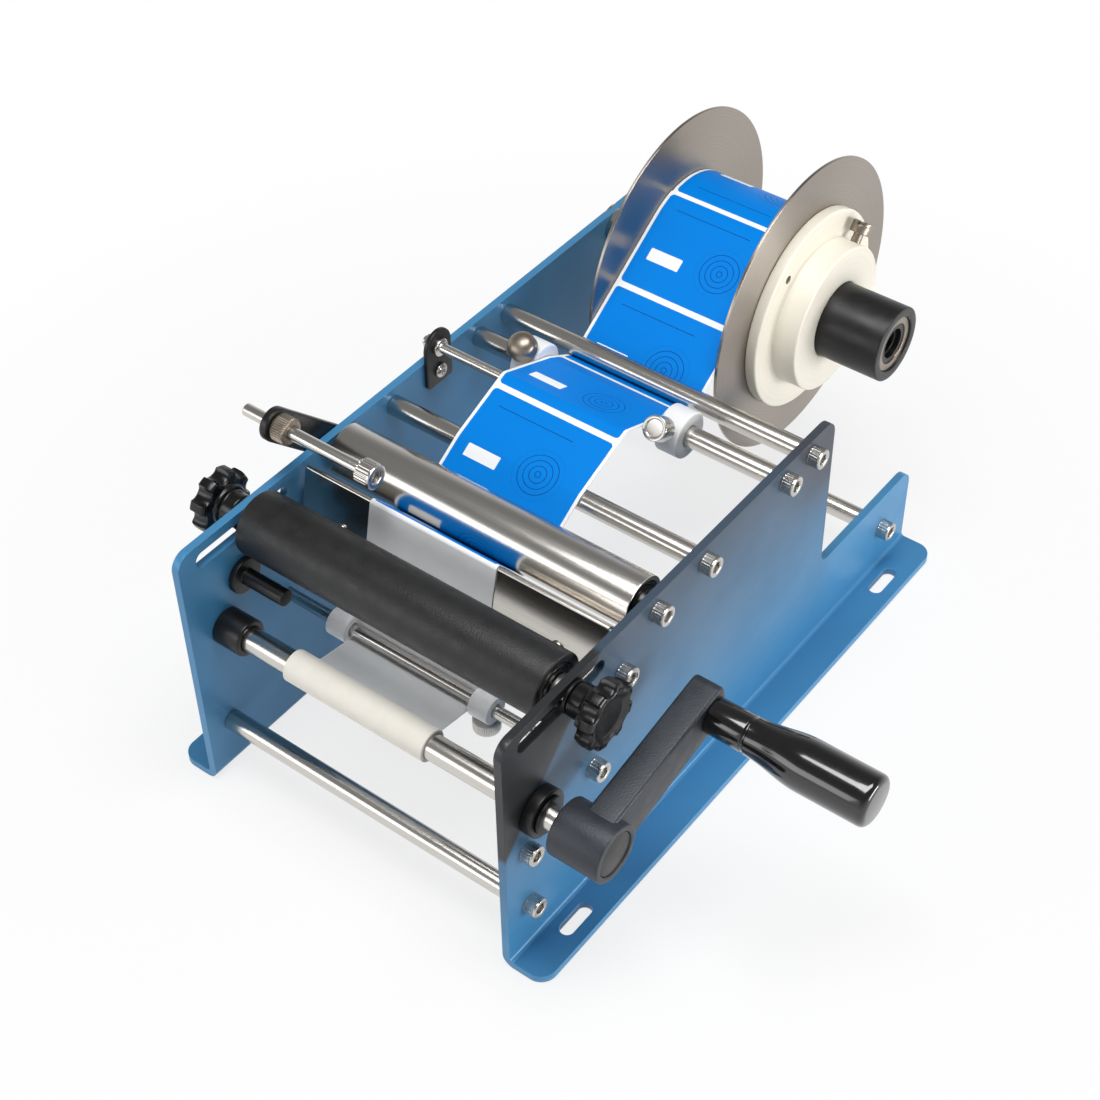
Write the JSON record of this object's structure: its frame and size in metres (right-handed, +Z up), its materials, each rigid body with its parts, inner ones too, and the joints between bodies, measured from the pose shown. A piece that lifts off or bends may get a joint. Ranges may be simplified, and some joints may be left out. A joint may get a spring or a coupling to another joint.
{
  "type": "hand-cranked labeling machine",
  "caption": "Hand-cranked bench label applicator for round bottles, with side plates, rollers, a peel plate, a crank and a label roll on a flanged mandrel.",
  "frame": {"origin": "centre of the four fixing slots, on the surface that the machine stands on", "axes": "+X from the front to the rear, along the labels' way back to the roll; +Y towards the left plate; +Z up"},
  "size_m": [0.391, 0.3144, 0.209],
  "materials": {
    "plate_paint": "satin blue paint",
    "bright_steel": "polished stainless",
    "fasteners": "stainless screws",
    "black_plastic": "glossy black",
    "black_metal": "satin black",
    "crank_metal": "dark grey, satin",
    "foam_rubber": "matt black, fine grain",
    "cream_rubber": "matt cream",
    "cream_plastic": "satin cream",
    "white_plastic": "satin white",
    "disc_steel": "turned stainless",
    "label_film": "blue labels on white backing",
    "core_board": "pressed paper"
  },
  "bodies": {
    "frame": {"left_side_plate": "plate_paint", "right_side_plate": "plate_paint", "front_tie_rod": "bright_steel", "rear_tie_rod": "bright_steel", "upper_tie_rod": "bright_steel", "label_guide_rod": "bright_steel", "web_support_rod": "bright_steel", "peel_rod": "bright_steel", "peel_plate": "bright_steel", "press_roller_axle": "bright_steel", "liner_guide_rod": "bright_steel", "tension_finger": "bright_steel", "mandrel_spindle": "bright_steel", "peel_screws": "fasteners", "right_plate_screws": "fasteners", "left_plate_screws": "fasteners", "plain_nuts": "fasteners", "stop_pivot_screw": "fasteners", "finger_screw": "fasteners", "finger_nut": "fasteners", "mandrel_nut": "fasteners", "shaft_bush_left": "black_metal", "shaft_bush_right": "black_metal", "finger_bracket": "black_metal", "guide_stud": "black_metal", "label_web": "label_film"},
    "drive": {"drive_shaft": "bright_steel", "shaft_clips": "black_metal", "drive_sleeve": "cream_rubber", "crank_arm": "crank_metal", "crank_cap": "black_plastic", "grip_spindle": "bright_steel"},
    "grip": {"crank_grip": "black_plastic"},
    "press_roller": {"press_roller_tube": "bright_steel", "press_roller_caps": "black_plastic"},
    "roll": {"mandrel_bearings": "fasteners", "mandrel_tube": "black_plastic", "left_flange_hub": "cream_plastic", "left_disc": "disc_steel", "label_core": "core_board", "label_roll": "label_film"},
    "right_flange": {"right_disc": "disc_steel", "right_flange_hub": "cream_plastic"},
    "lock_screw": {"hub_lock_screw": "fasteners"},
    "carriage": {"bottle_roller_axle": "bright_steel", "axle_spacers": "bright_steel"},
    "bottle_roller": {"bottle_roller_core": "black_plastic", "bottle_roller_sleeve": "foam_rubber"},
    "left_star": {"star_knob_left": "black_plastic"},
    "right_star": {"star_knob_right": "black_plastic"},
    "stop_lever": {"stop_arm": "black_metal", "stop_nut": "fasteners"},
    "stop_slider": {"stop_rod": "bright_steel"},
    "left_guide": {"guide_collar_left": "white_plastic"},
    "left_guide_knob": {"guide_knob_left": "bright_steel"},
    "right_guide": {"guide_collar_right": "white_plastic"},
    "right_guide_knob": {"guide_knob_right": "bright_steel"},
    "left_liner_collar": {"liner_collar_left": "white_plastic"},
    "right_liner_collar": {"liner_collar_right": "white_plastic"},
    "thumbscrew": {"liner_thumbscrew": "fasteners"}
  },
  "joints": [
    {"name": "crank_turn", "type": "hinge", "parent": "frame", "child": "drive", "pos_m": [-0.144, 0, 0.088], "axis": [0, 1, 0], "continuous": true},
    {"name": "grip_spin", "type": "hinge", "parent": "drive", "child": "grip", "pos_m": [-0.07064, 0, 0.10359], "axis": [0, 1, 0], "continuous": true},
    {"name": "press_roller_spin", "type": "hinge", "parent": "frame", "child": "press_roller", "pos_m": [-0.06, 0, 0.134], "axis": [0, 1, 0], "continuous": true},
    {"name": "roll_spin", "type": "hinge", "parent": "frame", "child": "roll", "pos_m": [0.151, 0, 0.134], "axis": [0, 1, 0], "continuous": true},
    {"name": "flange_slide", "type": "slide", "parent": "roll", "child": "right_flange", "axis": [0, -1, 0], "range_m": [0, 0.027]},
    {"name": "lock_screw_turn", "type": "hinge", "parent": "right_flange", "child": "lock_screw", "pos_m": [0.151, -0.0393, 0.134], "axis": [0.6293, 0, 0.7771], "range_deg": [0, 270]},
    {"name": "bottle_roller_travel", "type": "slide", "parent": "frame", "child": "carriage", "axis": [1, 0, 0], "range_m": [-0.0315, 0.013]},
    {"name": "bottle_roller_spin", "type": "hinge", "parent": "carriage", "child": "bottle_roller", "pos_m": [-0.119, 0, 0.134], "axis": [0, 1, 0], "continuous": true},
    {"name": "left_star_turn", "type": "hinge", "parent": "carriage", "child": "left_star", "pos_m": [-0.119, 0, 0.134], "axis": [0, 1, 0], "range_deg": [0, 270]},
    {"name": "right_star_turn", "type": "hinge", "parent": "carriage", "child": "right_star", "pos_m": [-0.119, 0, 0.134], "axis": [0, -1, 0], "range_deg": [0, 270]},
    {"name": "stop_lever_swing", "type": "hinge", "parent": "frame", "child": "stop_lever", "pos_m": [-0.06, 0, 0.134], "axis": [0, 1, 0], "range_deg": [-12, 45]},
    {"name": "stop_rod_slide", "type": "slide", "parent": "stop_lever", "child": "stop_slider", "axis": [0, 1, 0], "range_m": [-0.008, 0.038]},
    {"name": "left_guide_slide", "type": "slide", "parent": "frame", "child": "left_guide", "axis": [0, 1, 0], "range_m": [0, 0.026]},
    {"name": "left_guide_knob_turn", "type": "hinge", "parent": "left_guide", "child": "left_guide_knob", "pos_m": [0.039, 0.0515, 0.134], "axis": [-0.5, 0, 0.866], "range_deg": [0, 270]},
    {"name": "right_guide_slide", "type": "slide", "parent": "frame", "child": "right_guide", "axis": [0, -1, 0], "range_m": [0, 0.045]},
    {"name": "right_guide_knob_turn", "type": "hinge", "parent": "right_guide", "child": "right_guide_knob", "pos_m": [0.039, -0.0315, 0.134], "axis": [-0.788, 0, 0.6157], "range_deg": [0, 270]},
    {"name": "left_liner_slide", "type": "slide", "parent": "frame", "child": "left_liner_collar", "axis": [0, 1, 0], "range_m": [0, 0.026]},
    {"name": "right_liner_slide", "type": "slide", "parent": "frame", "child": "right_liner_collar", "axis": [0, -1, 0], "range_m": [0, 0.045]},
    {"name": "thumbscrew_turn", "type": "hinge", "parent": "right_liner_collar", "child": "thumbscrew", "pos_m": [-0.1045, -0.031, 0.076], "axis": [0, 0, -1], "range_deg": [0, 270]}
  ],
  "couplings": [
    {"joint": "press_roller_spin", "follows": "crank_turn", "ratio": 0.59615},
    {"joint": "roll_spin", "follows": "crank_turn", "ratio": -0.17816}
  ]
}
